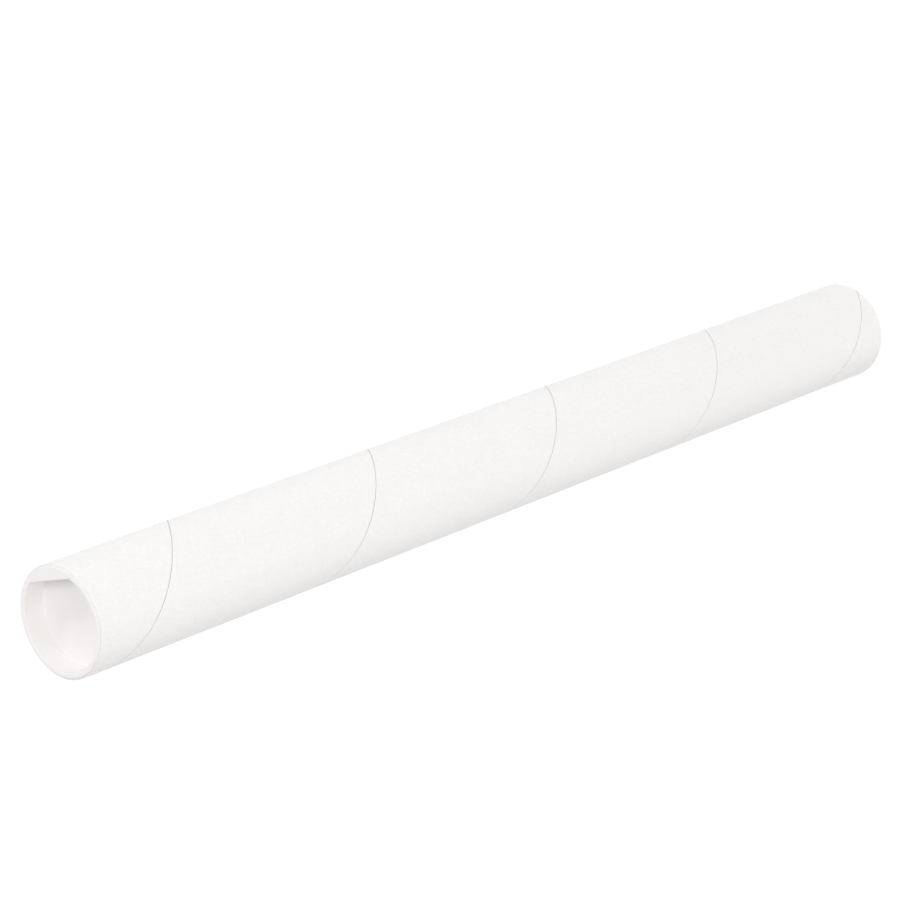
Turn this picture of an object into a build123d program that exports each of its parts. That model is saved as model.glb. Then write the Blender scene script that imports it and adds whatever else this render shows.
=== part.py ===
from build123d import *
import os

# Spiral-wound mailing tube with a moulded plug cap in each end.
# Millimetres. The tube stands on its lower cap: +Z runs up its axis, and the origin is the centre of the
# face that it stands on. The upper end is the one that the photograph shows, and +X is the side that is
# uppermost there.

# Tube: a common 2 inch by 24 inch size with an 80 point wall
tube_length = 609.6
bore_diameter = 50.8
wall_thickness = 2.032

# Seams: the edges of a ply's paper strip meet in a fine open line that winds round the tube
seam_pitch = 137.0
seam_width = 0.45
ply_thickness = 0.25
outer_seam_angle = 166.8
liner_seam_angle = 40.0

# Plug cap: flange
flange_overlap = 0.9
flange_thickness = 0.7
flange_edge_bevel = 0.3

# Plug cap: the cup that is pushed into the bore
recess_depth = 11.1
cup_wall = 0.85
cup_draft = 0.5
floor_thickness = 1.1
floor_corner_bevel = 0.6
mouth_edge_bevel = 0.2
lead_in_bevel = 0.6

# Plug cap: retaining ribs round the cup
rib_count = 2
rib_height = 0.3
rib_width = 1.0
first_rib_depth = 3.0
rib_spacing = 4.1
plug_clearance = 0.06

# Plug cap: half-moon pull tab across the mouth of the cup
tab_reach = 4.45
tab_thickness = 1.0
lip_width = 2.4
lip_land = 0.7
lip_depth = 1.9
lip_round = 0.3
upper_tab_angle = 4.8
lower_tab_angle = 180.0

# Sizes that follow from those above
bore_radius = bore_diameter / 2
outer_radius = bore_radius + wall_thickness
tube_foot = flange_thickness
tube_top = tube_foot + tube_length
flange_radius = bore_radius + flange_overlap
rib_radius = bore_radius - plug_clearance
cup_radius = rib_radius - rib_height
mouth_radius = cup_radius - cup_wall
floor_level = flange_thickness - recess_depth
plug_length = floor_thickness - floor_level
cup_foot_radius = cup_radius - cup_draft
floor_radius = mouth_radius - cup_draft


def seam_groove(face_radius, top_angle):
    """Cutter for the open line where a strip's edges meet, running out past both ends of the tube."""
    overrun = 4 * seam_width + 2 * ply_thickness
    run = tube_length + 2 * overrun
    line = Helix(pitch=seam_pitch, height=run, radius=face_radius, lefthand=True)
    section = Plane(origin=line @ 0, x_dir=(1, 0, 0), z_dir=line % 0) * Rectangle(2 * ply_thickness, seam_width)
    cutter = sweep(section, path=line, is_frenet=True)
    # A left-handed line turns backwards as it climbs, so its foot lies ahead of its top by the turns between
    foot_angle = top_angle + 360 * (tube_length + overrun) / seam_pitch
    return Pos(0, 0, tube_foot - overrun) * Rot(0, 0, foot_angle) * cutter


def wound_tube():
    """The glued plies as one wall, with the seam of the outer ply and the seam of the liner."""
    ring = Circle(outer_radius) - Circle(bore_radius)
    wall = extrude(Pos(0, 0, tube_foot) * ring, amount=tube_length)
    wall -= seam_groove(outer_radius, outer_seam_angle)
    wall -= seam_groove(bore_radius, liner_seam_angle)
    return wall


def cup_radius_at(depth):
    """Outer radius of the tapered cup at a depth below the flange."""
    return cup_radius - cup_draft * depth / plug_length


def cup_outline():
    """Half section of flange, ribbed cup and recess, with the flange's seat at height 0."""
    points = [(0, floor_level), (floor_radius, floor_level), (mouth_radius, flange_thickness)]
    points += [(flange_radius, flange_thickness), (flange_radius, 0), (cup_radius, 0)]
    for rib in range(rib_count):
        depth = first_rib_depth + rib * rib_spacing
        above = depth - rib_width / 2
        below = depth + rib_width / 2
        points += [(cup_radius_at(above), -above), (rib_radius, -depth), (cup_radius_at(below), -below)]
    points += [(cup_foot_radius, -plug_length), (0, -plug_length)]
    return make_face(Polyline(*points, close=True))


def bevel_circle(shape, radius, height, size):
    """Take the sharpness off the circular edge of the given radius and height."""
    edges = [
        edge
        for edge in shape.edges().filter_by(GeomType.CIRCLE)
        if abs(edge.radius - radius) < 0.001 and abs(edge.center(CenterOf.BOUNDING_BOX).Z - height) < 0.001
    ]
    return chamfer(edges, size)


def pull_tab():
    """Half-moon tab: a web level with the flange's face, whose straight lip hangs down to give a grip."""
    lip_line = mouth_radius - tab_reach
    buried = mouth_radius + cup_wall / 2
    underside = flange_thickness - tab_thickness
    lip_foot = flange_thickness - lip_depth
    points = [
        (lip_line, flange_thickness),
        (buried, flange_thickness),
        (buried, underside),
        (lip_line + lip_width, underside),
        (lip_line + lip_land, lip_foot),
        (lip_line, lip_foot),
    ]
    section = Plane.XZ * make_face(Polyline(*points, close=True))
    bar = extrude(section, amount=buried, both=True)
    lip_edges = bar.edges().filter_by(Axis.Y).group_by(Axis.X)[0]
    bar = fillet(lip_edges, lip_round)
    return bar & extrude(Pos(0, 0, floor_level) * Circle(buried), amount=recess_depth)


def plug_cap():
    """One moulded cap, pointing up, with the flange's seat at height 0."""
    cup = revolve(Plane.XZ * cup_outline(), axis=Axis.Z)
    cup = bevel_circle(cup, flange_radius, flange_thickness, flange_edge_bevel)
    cup = bevel_circle(cup, mouth_radius, flange_thickness, mouth_edge_bevel)
    cup = bevel_circle(cup, floor_radius, floor_level, floor_corner_bevel)
    cup = bevel_circle(cup, cup_foot_radius, -plug_length, lead_in_bevel)
    return cup + pull_tab()


cap = plug_cap()
parts = {
    "tube": wound_tube(),
    "upper_cap": Pos(0, 0, tube_top) * Rot(0, 0, upper_tab_angle) * cap,
    "lower_cap": Pos(0, 0, tube_foot) * Rot(180, 0, 0) * Rot(0, 0, lower_tab_angle) * cap,
}

os.makedirs("parts", exist_ok=True)
for name, shape in parts.items():
    export_step(shape, f"parts/{name}.step")
    print(name, "volume", round(shape.volume), "mm3, height", round(shape.bounding_box().size.Z, 3), "mm")
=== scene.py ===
# %% [markdown]
# A white cardboard mailing tube with a plastic plug cap in each end
#
# The tube is wound from strips of paper, and each cap is one moulded piece with a half-moon pull tab.
# Nearly everything here is white on white, so the shape has to be told by very small things: the open line
# where the outer strip's edges meet, the mottled face of the paper, the cut ends of the plies, the rim of
# the cap and the shade in its recess. This lesson builds those as real geometry, and then lights them
# softly.

# %% Load the fixed frame
import math

import bmesh
import bpy
from mathutils import Matrix, Vector


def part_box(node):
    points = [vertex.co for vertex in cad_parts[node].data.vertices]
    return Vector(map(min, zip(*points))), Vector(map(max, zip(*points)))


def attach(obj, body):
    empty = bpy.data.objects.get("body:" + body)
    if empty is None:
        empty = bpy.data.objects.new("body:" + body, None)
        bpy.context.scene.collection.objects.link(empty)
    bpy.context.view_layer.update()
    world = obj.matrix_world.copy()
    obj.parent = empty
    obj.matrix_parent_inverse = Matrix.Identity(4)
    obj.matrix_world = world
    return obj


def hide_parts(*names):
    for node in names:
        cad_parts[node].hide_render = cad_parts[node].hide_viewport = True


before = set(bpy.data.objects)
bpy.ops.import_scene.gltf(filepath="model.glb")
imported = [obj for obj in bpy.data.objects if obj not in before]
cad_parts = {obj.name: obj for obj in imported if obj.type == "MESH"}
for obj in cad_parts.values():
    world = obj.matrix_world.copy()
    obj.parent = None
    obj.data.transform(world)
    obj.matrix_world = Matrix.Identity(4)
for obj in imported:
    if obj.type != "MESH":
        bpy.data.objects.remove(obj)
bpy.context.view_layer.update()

# %% [markdown]
# Sizes come first. What the model already fixes, such as the tube's two ends, is read from its boxes. The
# thicknesses that a box can't tell, of the tube's wall and of one ply, are named here once, in millimetres.
# Numbers could also be typed into each step, but then a piece would no longer follow the one that it seats
# on when a size is changed.

# %% Sizes
MM = 0.001
tube_low, tube_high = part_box("tube")
cap_low, cap_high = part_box("upper_cap")
outer_radius = (tube_high.x - tube_low.x) / 2 / MM
tube_foot = tube_low.z / MM
tube_top = tube_high.z / MM
tube_length = tube_top - tube_foot
flange_thickness = cap_high.z / MM - tube_top
plug_length = (tube_top * MM - cap_low.z) / MM

wall_thickness = 2.032
ply_thickness = 0.25
bore_radius = outer_radius - wall_thickness
print("outer radius", round(outer_radius, 3), "tube from", round(tube_foot, 2), "to", round(tube_top, 2))
print("plug length", round(plug_length, 2), "flange thickness", round(flange_thickness, 2))

# %% [markdown]
# The camera stands where the photograph was taken from. The tube stands on its far end here, and the
# photograph shows it lying, so the camera is rolled until the end with the pull tab points down to the
# left. A camera can be aimed with a constraint, but a roll like this is easier to state as three turns: the
# turn about the vertical, the tip down from the horizon, and the roll about the line of sight.

# %% Camera
camera_from_mouth = Vector((305.1, -1130.2, 899.4))
view_turn = 14.48
view_tip = 45.0
view_roll = -110.06
lens_length = 129.69

camera = bpy.data.objects.new("camera", bpy.data.cameras.new("camera"))
bpy.context.scene.collection.objects.link(camera)
camera.data.lens = lens_length
camera.data.sensor_width = 36.0
camera.data.clip_end = 50.0
turn = Matrix.Rotation(math.radians(view_turn), 4, "Z")
tip = Matrix.Rotation(math.radians(90.0 - view_tip), 4, "X")
roll = Matrix.Rotation(math.radians(view_roll), 4, "Z")
camera_place = (Vector((0.0, 0.0, tube_top)) + camera_from_mouth) * MM
camera.matrix_world = Matrix.Translation(camera_place) @ turn @ tip @ roll
bpy.context.scene.camera = camera
print("camera at", [round(c, 3) for c in camera_place])

# %% [markdown]
# The lights, the floor and every finish are small sums: a base colour, plus a little cloudiness, plus a
# little grain. Building such a sum node by node hides the idea under boxes and wires. So one small class
# wraps a socket and turns Python's plus and times into Math nodes, and one method adds any other node. A
# ready-made node group would be as short, but its sums could not be read from this page.


# %% Shader arithmetic
class Value:
    """A socket of a tree. Arithmetic on it adds Math nodes."""

    def __init__(self, shaders, socket):
        self.shaders = shaders
        self.socket = socket

    def maths(self, operation, first, second):
        return self.shaders.node("ShaderNodeMath", {"operation": operation}, {0: first, 1: second})

    def __add__(self, other):
        return self.maths("ADD", self, other)

    def __radd__(self, other):
        return self.maths("ADD", other, self)

    def __sub__(self, other):
        return self.maths("SUBTRACT", self, other)

    def __rsub__(self, other):
        return self.maths("SUBTRACT", other, self)

    def __mul__(self, other):
        return self.maths("MULTIPLY", self, other)

    def __rmul__(self, other):
        return self.maths("MULTIPLY", other, self)

    def __truediv__(self, other):
        return self.maths("DIVIDE", self, other)

    def __rtruediv__(self, other):
        return self.maths("DIVIDE", other, self)

    def __pow__(self, other):
        return self.maths("POWER", self, other)

    def __rpow__(self, other):
        return self.maths("POWER", other, self)


class Shaders:
    """The nodes of the world or of one material."""

    def __init__(self, tree):
        self.tree = tree

    def feed(self, socket, value):
        if isinstance(value, Value):
            self.tree.links.new(value.socket, socket)
        else:
            socket.default_value = value

    def node(self, kind, settings, inputs, output=0):
        """Add a node: its settings come first, and then the values or links of its sockets."""
        made = self.tree.nodes.new(kind)
        for name, value in settings.items():
            setattr(made, name, value)
        for key, value in inputs.items():
            self.feed(made.inputs[key], value)
        return Value(self, made.outputs[output])


print("shader helpers ready")

# %% [markdown]
# A white object on white needs light that is nearly even, and the world gives most of it. It has two
# strengths: a camera, a gloss or a glass sees plain white, and the surfaces are lit by a value of their
# own. One strength for both would be simpler, but then the shades on the tube could not be set without
# greying the background.

# %% World light
world_light = 0.632
world_tint = (1.0, 0.990, 0.985, 1.0)


def grey(level):
    return (level, level, level, 1.0)


def seen_directly(shaders):
    """1 or more for a ray that should see plain white: from the camera, or by way of a gloss or a glass."""
    kinds = ("Is Camera Ray", "Is Glossy Ray", "Is Transmission Ray")
    camera_ray, glossy_ray, clear_ray = [shaders.node("ShaderNodeLightPath", {}, {}, kind) for kind in kinds]
    return camera_ray + glossy_ray + clear_ray


world = bpy.data.worlds.new("studio")
world.use_nodes = True
bpy.context.scene.world = world
sky = Shaders(world.node_tree)
lighting = sky.node("ShaderNodeBackground", {}, {"Color": world_tint, "Strength": world_light})
backdrop = sky.node("ShaderNodeBackground", {}, {"Color": grey(1.0), "Strength": 1.0})
either = sky.node("ShaderNodeMixShader", {}, {"Fac": seen_directly(sky), 1: lighting, 2: backdrop})
sky.feed(world.node_tree.nodes["World Output"].inputs["Surface"], either)
bpy.context.scene.view_settings.view_transform = "Standard"
print("world lights with", world_light, "and looks plain white")

# %% [markdown]
# Three large soft lamps add the rest: one over the camera's shoulder, one from the side that the photograph
# has uppermost, which throws the tab's shadow into the recess, and a broad one, faintly pink, that lifts
# the underside. They stand far off, so that the far end of the tube is lit as the near end is. More world
# and no lamps would be simpler, but it would leave the recess flat, with nothing to tell its floor from its
# wall.

# %% Lamps
lamp_distance = 6.0
no_tint = (1.0, 1.0, 1.0)
low_tint = (1.0, 0.95, 0.94)


def soft_lamp(name, bearing, height_angle, width, height, power, tint=no_tint):
    """A lamp that faces the upper end of the tube, from a bearing measured from +X towards +Y."""
    lamp = bpy.data.lights.new(name, "AREA")
    lamp.shape = "RECTANGLE"
    lamp.size = width
    lamp.size_y = height
    lamp.energy = power
    lamp.color = tint
    holder = bpy.data.objects.new(name, lamp)
    bpy.context.scene.collection.objects.link(holder)
    upper_end = Vector((0.0, 0.0, tube_top * MM))
    around = math.radians(bearing)
    above = math.radians(height_angle)
    away = Vector((math.cos(around) * math.cos(above), math.sin(around) * math.cos(above), math.sin(above)))
    holder.location = upper_end + away * lamp_distance
    holder.rotation_mode = "QUATERNION"
    holder.rotation_quaternion = away.to_track_quat("Z", "Y")
    return holder


lamps = (
    soft_lamp("front_lamp", -57.0, 47.0, width=2.0, height=2.0, power=123.0),
    soft_lamp("top_lamp", 23.0, 26.0, width=1.5, height=0.6, power=65.0),
    soft_lamp("low_lamp", -125.0, 10.0, width=3.5, height=3.5, power=54.0, tint=low_tint),
)
for lamp in lamps:
    print(lamp.name, "at", [round(c, 2) for c in lamp.location], "m")

# %% [markdown]
# The floor is a plain white sheet. To the camera it is a mix of a matt surface, which catches the tube's
# soft shadow, and a steady glow that lifts it to the white of the photograph. Making it pure glow would be
# simpler, but then the tube would seem to float. It lies a hair below the tube's foot, because two faces at
# one height flicker.

# %% Floor
floor_half_size = 8.0
floor_drop = 0.2
floor_glow = 0.72
floor_shade = 0.4
floor_bounce = 0.82

bm = bmesh.new()
bmesh.ops.create_grid(bm, x_segments=1, y_segments=1, size=floor_half_size)
floor_mesh = bpy.data.meshes.new("floor")
bm.to_mesh(floor_mesh)
bm.free()
floor = bpy.data.objects.new("floor", floor_mesh)
bpy.context.scene.collection.objects.link(floor)
floor.location.z = -floor_drop * MM
floor_finish = bpy.data.materials.new("floor_sheet")
floor_finish.use_nodes = True
sheet = Shaders(floor_finish.node_tree)
bounce = sheet.node("ShaderNodeBsdfDiffuse", {}, {"Color": grey(floor_bounce)})
shade = sheet.node("ShaderNodeBsdfDiffuse", {}, {"Color": grey(floor_shade)})
glow = sheet.node("ShaderNodeEmission", {}, {"Color": grey(1.0), "Strength": floor_glow})
lifted = sheet.node("ShaderNodeAddShader", {}, {0: shade, 1: glow})
either = sheet.node("ShaderNodeMixShader", {}, {"Fac": seen_directly(sheet), 1: bounce, 2: lifted})
sheet.feed(floor_finish.node_tree.nodes["Material Output"].inputs["Surface"], either)
floor_mesh.materials.append(floor_finish)
print("floor", 2 * floor_half_size, "m square")

# %% [markdown]
# A finish is one principled shader and the nodes that feed it. No surface here is quite even: paper shows
# its fibres, board its glue lines and plastic its flow. Pictures of them could be wrapped round the tube,
# but a picture blurs close to and shows where it repeats. Noise is worked out at each point, so it does
# neither. Noise about nothing, a blend between two colours and relief from a height in millimetres are what
# the finishes share, so they get a name each.


# %% Finishes
class Finish(Shaders):
    """A material in the making."""

    def __init__(self, name, roughness, specular):
        self.material = bpy.data.materials.new(name)
        self.material.use_nodes = True
        super().__init__(self.material.node_tree)
        self.shader = self.tree.nodes["Principled BSDF"]
        self.shader.inputs["Roughness"].default_value = roughness
        self.shader.inputs["Specular IOR Level"].default_value = specular
        self.place = self.node("ShaderNodeTexCoord", {}, {}, "Object")

    def noise(self, size_mm, detail=2.0, roughness=0.5):
        """Cloudy noise about 0, within about half of 1 either way, with lumps of the given size."""
        scale = 1.0 / (size_mm * MM)
        sockets = {"Vector": self.place, "Scale": scale, "Detail": detail, "Roughness": roughness}
        return self.node("ShaderNodeTexNoise", {"noise_dimensions": "3D"}, sockets) - 0.5

    def blend(self, amount, first, second):
        """A colour between two others. A Mix node has its colours at inputs 6 and 7 and output 2."""
        settings = {"data_type": "RGBA", "blend_type": "MIX"}
        return self.node("ShaderNodeMix", settings, {0: amount, 6: first, 7: second}, 2)

    def colour(self, value):
        self.feed(self.shader.inputs["Base Color"], value)

    def roughness(self, value):
        self.feed(self.shader.inputs["Roughness"], value)

    def relief(self, height_mm):
        """Bump from a height in millimetres."""
        bump = self.node("ShaderNodeBump", {}, {"Distance": MM, "Height": height_mm}, "Normal")
        self.feed(self.shader.inputs["Normal"], bump)


print("finish helpers ready")

# %% [markdown]
# The outer ply and the liner are white kraft paper. Close to, such paper is never even: fibres clump while
# the sheet forms, so light and slightly darker flecks a millimetre or two across lie over broader clouds.
# It is matt, and the same clumps stand a few hundredths of a millimetre proud. One noise could be stretched
# to give all of that, but clouds and flecks have each a size of their own. So there is one noise for the
# clouds, one for the flecks and one for the finest grain, and they feed both the colour and the relief.

# %% White paper
paper_light = (0.945, 0.940, 0.929, 1.0)
paper_dark = (0.835, 0.822, 0.805, 1.0)
paper_darkness = 0.16
paper_roughness = 0.85
cloud_size = 14.0
cloud_strength = 0.16
fleck_size = 1.7
fleck_strength = 0.95
fleck_height = 0.20
grain_size = 0.45
grain_strength = 0.45
grain_height = 0.05


def white_paper():
    """Matt white kraft paper."""
    paper = Finish("white_paper", paper_roughness, specular=0.25)
    clouds = paper.noise(cloud_size)
    flecks = paper.noise(fleck_size, detail=3.0, roughness=0.6)
    grain = paper.noise(grain_size)
    mottle = clouds * cloud_strength + flecks * fleck_strength + grain * grain_strength
    paper.colour(paper.blend(paper_darkness + mottle, paper_light, paper_dark))
    paper.roughness(paper_roughness + flecks * 0.2)
    paper.relief(flecks * fleck_height + grain * grain_height)
    return paper.material


paper_finish = white_paper()
print("made", paper_finish.name)

# %% [markdown]
# The cut ends show the board inside the wall: plies of plainer, slightly greyer paper, with a thin darker
# line of glue between one and the next. The lines are rings, so their pattern comes from the distance to
# the tube's axis: a saw of that distance, one tooth to a ply. A picture of rings would blur when seen
# close. The distance wanders a little, because no strip is laid on quite true.

# %% Board
board_light = (0.93, 0.922, 0.908, 1.0)
board_glue = (0.80, 0.785, 0.765, 1.0)
board_darkness = 0.1
board_roughness = 0.9
wander_size = 6.0
wander_plies = 0.3
glue_sharpness = 6.0
glue_strength = 0.55
glue_depth = 0.03
fibre_size = 0.6
fibre_strength = 0.3
fibre_height = 0.06


def wound_board():
    """Greyer inner plies, with a glue line between each and the next."""
    board = Finish("wound_board", board_roughness, specular=0.2)
    flat = board.node("ShaderNodeVectorMath", {"operation": "MULTIPLY"}, {0: board.place, 1: (1, 1, 0)})
    radius = board.node("ShaderNodeVectorMath", {"operation": "LENGTH"}, {0: flat}, "Value")
    ply = radius / (ply_thickness * MM) + board.noise(wander_size) * wander_plies
    across = board.node("ShaderNodeMath", {"operation": "FRACT"}, {0: ply})
    from_line = board.node("ShaderNodeMath", {"operation": "PINGPONG"}, {0: across, 1: 0.5}) * 2.0
    glue = (1.0 - from_line) ** glue_sharpness
    fibres = board.noise(fibre_size, detail=3.0)
    darkness = glue * glue_strength + fibres * fibre_strength + board_darkness
    board.colour(board.blend(darkness, board_light, board_glue))
    board.relief(fibres * fibre_height - glue * glue_depth)
    return board.material


board_finish = wound_board()
print("made", board_finish.name)

# %% [markdown]
# The bottom of the open seam and the strip's own cut edges get a plain grey finish of their own. The grey
# is partly glue and dust from the saw and partly painted shade: it is set dark so that the seam reads as a
# fine dark line even where the light falls straight into it. Deepening the seam would darken it too, but a
# ply is only so thick.

# %% Seam
# Both greys are glue and dust darkened with painted shade; the noise between them is the dust.
seam_shade_clean = (0.68, 0.66, 0.63, 1.0)
seam_shade_dusty = (0.54, 0.52, 0.49, 1.0)
dust_size = 2.5
dust_strength = 1.5


def seam_glue_and_shade():
    """Grey paper inside the seam: glue and dust, darkened further with painted shade."""
    edge = Finish("seam_glue_and_shade", roughness=0.9, specular=0.2)
    dust = edge.noise(dust_size, detail=3.0)
    edge.colour(edge.blend(0.5 + dust * dust_strength, seam_shade_clean, seam_shade_dusty))
    return edge.material


seam_glue_and_shade_finish = seam_glue_and_shade()
print("made", seam_glue_and_shade_finish.name)

# %% [markdown]
# The caps are a soft white plastic. It is smoother than the paper and has a low, wide gloss. Where it
# flowed into the mould its gloss is a little uneven, and its face has a faint orange peel. One even gloss
# would be enough from afar, but close to it looks like glazed china. So a broad noise for the flow and a
# fine one for the peel vary the gloss and the relief by a very little.

# %% Cap plastic
plastic_light = (0.907, 0.892, 0.887, 1.0)
plastic_dark = (0.873, 0.856, 0.850, 1.0)
plastic_darkness = 0.35
plastic_roughness = 0.42
flow_size = 9.0
flow_strength = 0.9
flow_height = 0.02
peel_size = 0.8
peel_height = 0.012


def cap_plastic():
    """Moulded white polyethylene with a low gloss."""
    plastic = Finish("cap_plastic", plastic_roughness, specular=0.4)
    flow = plastic.noise(flow_size)
    peel = plastic.noise(peel_size, detail=1.0)
    plastic.colour(plastic.blend(plastic_darkness + flow * flow_strength, plastic_light, plastic_dark))
    plastic.roughness(plastic_roughness + flow * 0.2 + peel * 0.05)
    plastic.relief(peel * peel_height + flow * flow_height)
    return plastic.material


plastic_finish = cap_plastic()
print("made", plastic_finish.name)

# %% [markdown]
# All the pieces are round about one axis, so each starts as half of its section, drawn as a few corners,
# and a spin turns the section into the piece. The alternative, starting from a stock cylinder and cutting
# it, needs more steps to reach the same rim, ribs and recess.

# %% Section and spin
ring_steps = 160
merge_distance = 1e-7


def half_section(points, closed=True):
    """A mesh that holds one outline of radius and height, in millimetres."""
    bm = bmesh.new()
    corners = [bm.verts.new((radius * MM, 0.0, height * MM)) for radius, height in points]
    following = corners[1:] + corners[:1] if closed else corners[1:]
    for one, other in zip(corners, following):
        bm.edges.new((one, other))
    return bm


def spin_round(bm):
    """Turn a half section once about the tube's axis and close it."""
    bmesh.ops.spin(
        bm,
        geom=bm.verts[:] + bm.edges[:],
        cent=(0, 0, 0),
        axis=(0, 0, 1),
        dvec=(0, 0, 0),
        angle=2 * math.pi,
        steps=ring_steps,
        use_merge=True,
    )
    bmesh.ops.remove_doubles(bm, verts=bm.verts[:], dist=merge_distance)


print("a full turn is", ring_steps, "steps")

# %% [markdown]
# Every piece ends in the same way. Its faces are turned outwards, and it is shaded smooth where it curves
# and sharp where it folds. Flat shading would show the steps of the spin, and smooth shading all over would
# blur the rim and the ribs, so the angle between two faces decides. A Weighted Normal modifier then keeps
# the broad faces flat right up to their narrow roundings.

# %% Place a piece
sharp_angle = 32.0


def place_piece(bm, name, finishes):
    """Make an object at the origin from a finished bmesh, smooth where it curves, sharp where it folds."""
    bmesh.ops.recalc_face_normals(bm, faces=bm.faces[:])
    mesh = bpy.data.meshes.new(name)
    bm.to_mesh(mesh)
    bm.free()
    mesh.shade_smooth()
    mesh.set_sharp_from_angle(angle=math.radians(sharp_angle))
    for finish in finishes:
        mesh.materials.append(finish)
    piece = bpy.data.objects.new(name, mesh)
    bpy.context.scene.collection.objects.link(piece)
    even = piece.modifiers.new("even_shading", "WEIGHTED_NORMAL")
    even.keep_sharp = True
    print(name, len(mesh.vertices), "vertices", len(mesh.polygons), "faces")
    return piece


print("an edge over", sharp_angle, "degrees stays sharp")

# %% [markdown]
# The core of the tube is the stack of inner plies. It is a plain ring seen end on, but a saw leaves each
# ply's edge slightly rounded, with a fine groove at the glue between two plies. A bump in the finish could
# draw those grooves, but it would leave the ring's edge smooth close to. So the section carries them: a
# loop walks across the wall and dips at each glue line. The core's outer face carries the seam's finish,
# since it shows only at the bottom of the seam.

# %% Core
core_inside = bore_radius + ply_thickness
core_outside = outer_radius - ply_thickness
core_plies = 6
glue_groove_depth = 0.05
glue_groove_width = 0.06
same_circle = 0.02


def cut_end(height, outwards):
    """Corners across a cut end, from the bore outwards, with a groove between each two plies."""
    step = (core_outside - core_inside) / core_plies
    corners = [(core_inside, height)]
    for ply in range(1, core_plies):
        groove = core_inside + ply * step
        corners.append((groove - glue_groove_width / 2, height))
        corners.append((groove, height - outwards * glue_groove_depth))
        corners.append((groove + glue_groove_width / 2, height))
    corners.append((core_outside, height))
    return corners


bm = half_section(cut_end(tube_foot, -1) + cut_end(tube_top, 1)[::-1])
spin_round(bm)
# The outer face shows only at the bottom of the seam, so it gets the seam's finish of glue and painted
# shade.
for face in bm.faces:
    nearest = min(vertex.co.xy.length for vertex in face.verts)
    face.material_index = int(nearest > (core_outside - same_circle) * MM)
core = place_piece(bm, "tube_core", [board_finish, seam_glue_and_shade_finish])

# %% [markdown]
# The outer ply is a strip of paper, wound in a spiral so that its two edges nearly meet. The thin open line
# between them is the mark of every mailing tube. It could be painted as a dark line, but a painted line has
# no depth and doesn't darken towards the shaded side as the real one does. So the strip is made as a strip.
# It starts as its narrow section, and the two corners that will border the seam are softened, as a slit
# edge of paper is.

# %% Strip section
seam_pitch = 137.0
seam_gap = 0.36
edge_softness = 0.05
same_place = 1e-6


def strip_section(inside, outside):
    """Section of a ply between two radii, from one edge of the strip to the other."""
    width = seam_pitch - seam_gap
    bm = half_section([(inside, 0), (outside, 0), (outside, width), (inside, width)])
    soft_corners = [vertex for vertex in bm.verts if abs(vertex.co.x - outside * MM) < same_place]
    bmesh.ops.bevel(
        bm,
        geom=soft_corners,
        offset=edge_softness * MM,
        segments=2,
        profile=0.5,
        affect="VERTICES",
        material=-1,
    )
    return bm


print("strip", round(seam_pitch - seam_gap, 2), "mm from edge to edge, gap", seam_gap, "mm")

# %% [markdown]
# A tube is wound longer than it is sold, and a saw cuts it to length. The same is done here: a plane cuts
# the strip level with each end of the tube. A cut by a plane leaves the end open, so a face is filled in.
# A Boolean with a box would close it too, but it needs a helper object that has to be removed again.


# %% Trim to the tube
def trim_to_tube(bm):
    """Cut a wound strip level with both ends of the tube, and close the cuts."""
    for height, keep_up in ((tube_foot, True), (tube_top, False)):
        cut = bmesh.ops.bisect_plane(
            bm,
            geom=bm.verts[:] + bm.edges[:] + bm.faces[:],
            plane_co=(0, 0, height * MM),
            plane_no=(0, 0, 1),
            clear_inner=keep_up,
            clear_outer=not keep_up,
        )
        rim = [item for item in cut["geom_cut"] if isinstance(item, bmesh.types.BMEdge)]
        bmesh.ops.holes_fill(bm, edges=rim, sides=0)


print("the strips are cut at", round(tube_foot, 2), "and", round(tube_top, 2), "mm")

# %% [markdown]
# To wind the strip, its section is spun and lifted at the same time, by one pitch for each turn. A Screw
# modifier could do this too, but the seam has to meet the tube's upper end at a set angle, and that is
# easier to reach when the section is placed first and then spun. The liner inside the bore is wound in the
# same way. Afterwards the strip's own edges are told from its faces by their slope, and get the seam's
# finish.

# %% Wind the plies
outer_seam_angle = 166.8
liner_seam_angle = 40.0
spiral_steps = 144
spare_turns = 1
edge_slope_least = 0.7
edge_slope_most = 0.9


def spiral_ply(name, inside, outside, seam_angle, finish):
    """A paper strip wound round the axis, its edges meeting along the seam, trimmed to the tube."""
    turns = math.ceil(tube_length / seam_pitch) + 2 * spare_turns
    # The strip climbs as it turns clockwise. Its lower edge starts a whole number of turns below the point
    # where the seam meets the upper end, and far enough down to pass the lower end.
    seam_foot = tube_top - (turns - spare_turns) * seam_pitch + seam_gap / 2
    bm = strip_section(inside, outside)
    bmesh.ops.translate(bm, verts=bm.verts[:], vec=(0, 0, seam_foot * MM))
    start = Matrix.Rotation(math.radians(seam_angle), 4, "Z")
    bmesh.ops.transform(bm, matrix=start, verts=bm.verts[:])
    bmesh.ops.spin(
        bm,
        geom=bm.verts[:] + bm.edges[:],
        cent=(0, 0, 0),
        axis=(0, 0, 1),
        dvec=(0, 0, seam_pitch * MM / spiral_steps),
        angle=-2 * math.pi * turns,
        steps=spiral_steps * turns,
        use_merge=False,
    )
    trim_to_tube(bm)
    open_edges = [edge for edge in bm.edges if len(edge.link_faces) != 2]
    print(name, "turns", turns, "open edges", len(open_edges))
    bm.normal_update()
    for face in bm.faces:
        # The strip's edges slope with the spiral, its faces stand upright and its trimmed ends lie level.
        # The strip's edges get the seam's finish of glue and painted shade.
        face.material_index = int(edge_slope_least < abs(face.normal.z) < edge_slope_most)
    return place_piece(bm, name, [finish, seam_glue_and_shade_finish])


outer_ply = spiral_ply("outer_ply", core_outside, outer_radius, outer_seam_angle, paper_finish)
liner_ply = spiral_ply("liner_ply", bore_radius, core_inside, liner_seam_angle, paper_finish)

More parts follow.
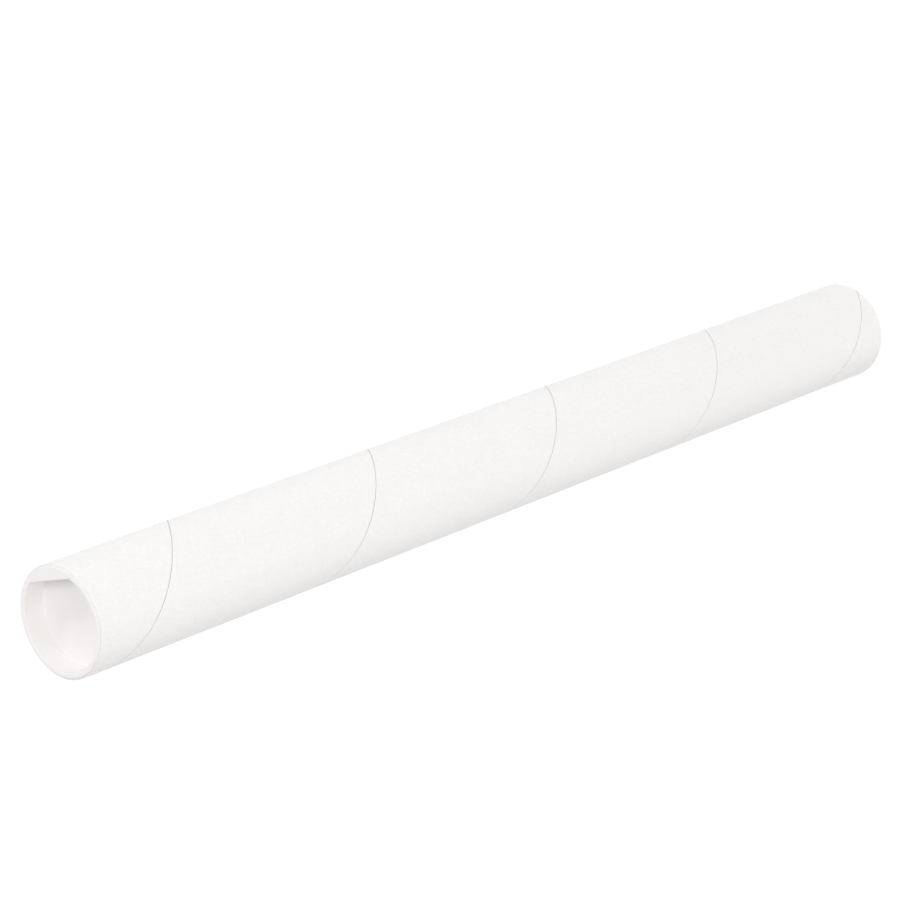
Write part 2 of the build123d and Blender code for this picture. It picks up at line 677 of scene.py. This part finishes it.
# %% [markdown]
# A cap is sized from the bore that it plugs. Its ribs clear the bore by a hair, its cup stands back from
# them, and its flange reaches out over the tube's cut end but stays short of the outer ply. Cup and recess
# both taper a little, so that the moulding leaves its mould. Each radius could be a number of its own, but
# then the cap would no longer fit when the tube's wall is changed.

# %% Cap sizes
flange_overlap = 0.9
plug_clearance = 0.06
rib_height = 0.3
cup_wall = 0.85
cup_draft = 0.5
recess_depth = 11.1
flange_radius = bore_radius + flange_overlap
rib_radius = bore_radius - plug_clearance
cup_radius = rib_radius - rib_height
cup_foot_radius = cup_radius - cup_draft
mouth_radius = cup_radius - cup_wall
floor_radius = mouth_radius - cup_draft
floor_level = flange_thickness - recess_depth
print("flange", round(2 * flange_radius, 2), "mm across, recess", recess_depth, "mm deep")

# %% [markdown]
# A moulded edge is never quite sharp, and the light that its rounding catches is what parts a white rim
# from white paper. One Bevel modifier could round all the edges of the cap alike, but each has an amount of
# its own. So a finished circle is found again by its radius and height, and only its edges are bevelled.


# %% Round a circle
def ring_edges(bm, radius, height):
    """The edges of one circle, by its radius and height in millimetres."""

    def on_circle(vertex):
        level = abs(vertex.co.z - height * MM) < same_circle * MM
        return level and abs(math.hypot(vertex.co.x, vertex.co.y) - radius * MM) < same_circle * MM

    return [edge for edge in bm.edges if on_circle(edge.verts[0]) and on_circle(edge.verts[1])]


def round_off(bm, edges, size_mm, segments=4):
    bmesh.ops.bevel(
        bm,
        geom=edges,
        offset=size_mm * MM,
        offset_type="OFFSET",
        segments=segments,
        profile=0.5,
        affect="EDGES",
        clamp_overlap=True,
        material=-1,
    )


print("circles are found to within", same_circle, "mm")

# %% [markdown]
# The cap is a shallow cup with a thin flange. Its half section runs from the middle of the recess floor, up
# the wall, over the flange, down the ribbed plug and back under the floor to the axis. It could be built of
# a disc, a tube and rings, but they would have to be joined, and one outline needs no joints. After the
# spin, its circles are rounded: much at the foot, which leads into the bore, and next to nothing where the
# recess wall meets its floor.

# %% Cap cup
rib_depths = (3.0, 7.1)
rib_width = 1.0
rib_rounding = 0.2
recess_corner_rounding = 0.08
mouth_rounding = 0.25
flange_face_rounding = 0.28
flange_seat_rounding = 0.08
foot_rounding = 0.6


def cup_radius_at(depth):
    """Outer radius of the tapered plug at a depth below the flange."""
    return cup_radius - cup_draft * depth / plug_length


def cap_cup():
    """Flange, ribbed plug and recess as one closed shell, with the flange's seat at height 0."""
    points = [(0, floor_level), (floor_radius, floor_level), (mouth_radius, flange_thickness)]
    points += [(flange_radius, flange_thickness), (flange_radius, 0), (cup_radius, 0)]
    for depth in rib_depths:
        above = depth - rib_width / 2
        below = depth + rib_width / 2
        points += [(cup_radius_at(above), -above), (rib_radius, -depth), (cup_radius_at(below), -below)]
    points += [(cup_foot_radius, -plug_length), (0, -plug_length)]
    bm = half_section(points, closed=False)
    spin_round(bm)
    rounded = (
        (floor_radius, floor_level, recess_corner_rounding),
        (mouth_radius, flange_thickness, mouth_rounding),
        (flange_radius, flange_thickness, flange_face_rounding),
        (flange_radius, 0, flange_seat_rounding),
        (cup_foot_radius, -plug_length, foot_rounding),
    )
    for radius, height, size in rounded:
        round_off(bm, ring_edges(bm, radius, height), size)
    for depth in rib_depths:
        round_off(bm, ring_edges(bm, rib_radius, -depth), rib_rounding, segments=3)
    return bm


print("ribs at", rib_depths, "mm below the flange, mouth", round(2 * mouth_radius, 2), "mm across")

# %% [markdown]
# The pull tab is a half-moon that bridges one side of the recess, for a fingernail to catch. Its face is
# level with the flange, so that a capped tube still stands flat. It could be cut out of a box, but its
# round side has to follow the cup's wall, so it starts as a flat disc. Three straight cuts across the disc
# leave the half-moon and mark where its lip begins and ends. Thickening it gives a slab, and moving the
# underside's cut lines down gives the hanging lip.

# %% Pull tab
tab_reach = 4.45
tab_thickness = 1.0
tab_in_wall = 0.42
lip_land = 0.7
lip_width = 2.4
lip_depth = 1.9
lip_rounding = 0.3
lip_line = mouth_radius - tab_reach
tab_edge = mouth_radius + tab_in_wall


def pull_tab():
    """The half-moon tab, with its straight lip towards the middle of the cap."""
    bm = bmesh.new()
    bmesh.ops.create_circle(bm, cap_ends=True, segments=ring_steps, radius=tab_edge * MM)
    for line in (lip_line, lip_line + lip_land, lip_line + lip_width):
        bmesh.ops.bisect_plane(
            bm,
            geom=bm.verts[:] + bm.edges[:] + bm.faces[:],
            plane_co=(line * MM, 0, 0),
            plane_no=(1, 0, 0),
            clear_inner=line == lip_line,
        )
    underside = bmesh.ops.extrude_face_region(bm, geom=bm.faces[:])
    lowered = [item for item in underside["geom"] if isinstance(item, bmesh.types.BMVert)]
    upper = [vertex for vertex in bm.verts if vertex not in set(lowered)]
    for vertex in upper:
        vertex.co.z = flange_thickness * MM
    for vertex in lowered:
        on_land = vertex.co.x < (lip_line + lip_land) * MM + same_place
        vertex.co.z = (flange_thickness - (lip_depth if on_land else tab_thickness)) * MM
    lip = [
        edge
        for edge in bm.edges
        if all(abs(vertex.co.x - lip_line * MM) < same_place for vertex in edge.verts)
        and abs(edge.verts[0].co.z - edge.verts[1].co.z) < same_place
    ]
    round_off(bm, lip, lip_rounding)
    bmesh.ops.recalc_face_normals(bm, faces=bm.faces[:])
    return bm


print("lip line", round(lip_line, 2), "mm from the axis, web", tab_thickness, "mm thick")

# %% [markdown]
# The real cap is one moulding, so cup and tab are joined. They meet along a curved wall, at a slant, and no
# simple stitch follows that line, but a union by the Boolean modifier finds it. Both halves reach into each
# other by a fraction of a millimetre, because two faces that only touch can leave a torn seam.


# %% Join cup and tab
def moulded_cap():
    """Cup and tab joined into one closed shell."""
    halves = []
    for label, bm in (("cup", cap_cup()), ("tab", pull_tab())):
        bmesh.ops.recalc_face_normals(bm, faces=bm.faces[:])
        mesh = bpy.data.meshes.new(label)
        bm.to_mesh(mesh)
        bm.free()
        half = bpy.data.objects.new(label, mesh)
        bpy.context.scene.collection.objects.link(half)
        halves.append(half)
    cup, tab = halves
    union = cup.modifiers.new("join", "BOOLEAN")
    union.operation = "UNION"
    union.solver = "EXACT"
    union.object = tab
    bpy.context.view_layer.update()
    joined = bpy.data.meshes.new_from_object(cup.evaluated_get(bpy.context.evaluated_depsgraph_get()))
    bm = bmesh.new()
    bm.from_mesh(joined)
    for half in halves:
        bpy.data.objects.remove(half)
    bmesh.ops.remove_doubles(bm, verts=bm.verts[:], dist=merge_distance)
    open_edges = [edge for edge in bm.edges if len(edge.link_faces) != 2]
    print("cap", len(bm.faces), "faces", len(open_edges), "open edges")
    return bm


print("cup and tab reach", tab_in_wall, "mm into each other")

# %% [markdown]
# One cap goes into each end. The lower one is turned over, and its tab lies across from the upper one's, as
# nothing lines the two up on a real tube. Two objects could share one mesh and be turned in place, but
# here each piece has its place in its own mesh, because the model moves every body from the same origin.

# %% Set a cap in each end
upper_tab_angle = 4.8
lower_tab_angle = 180.0
face_up = 0.0
face_down = 180.0
caps = {}
for name, height, flip, angle in (
    ("upper_cap_moulding", tube_top, face_up, upper_tab_angle),
    ("lower_cap_moulding", tube_foot, face_down, lower_tab_angle),
):
    bm = moulded_cap()
    spot = Matrix.Translation((0, 0, height * MM)) @ Matrix.Rotation(math.radians(flip), 4, "X")
    spot = spot @ Matrix.Rotation(math.radians(angle), 4, "Z")
    bmesh.ops.transform(bm, matrix=spot, verts=bm.verts[:])
    caps[name] = place_piece(bm, name, [plastic_finish])

# %% [markdown]
# Each piece now rides on the part of the model that carries it. The core stands for the tube's solid, and
# its two paper plies go with it. Each moulding stands for its own cap, so a cap that is pulled out takes
# its tab and ribs along. Parenting the objects by hand would do the same, but the model's own bodies
# already know how each cap moves.

# %% Tie the pieces to the bodies
tube_pieces = (core, outer_ply, liner_ply)
for piece in tube_pieces:
    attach(piece, "tube_body")
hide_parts("tube")
for name, node in (("upper_cap_moulding", "upper_cap"), ("lower_cap_moulding", "lower_cap")):
    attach(caps[name], node + "_body")
    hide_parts(node)
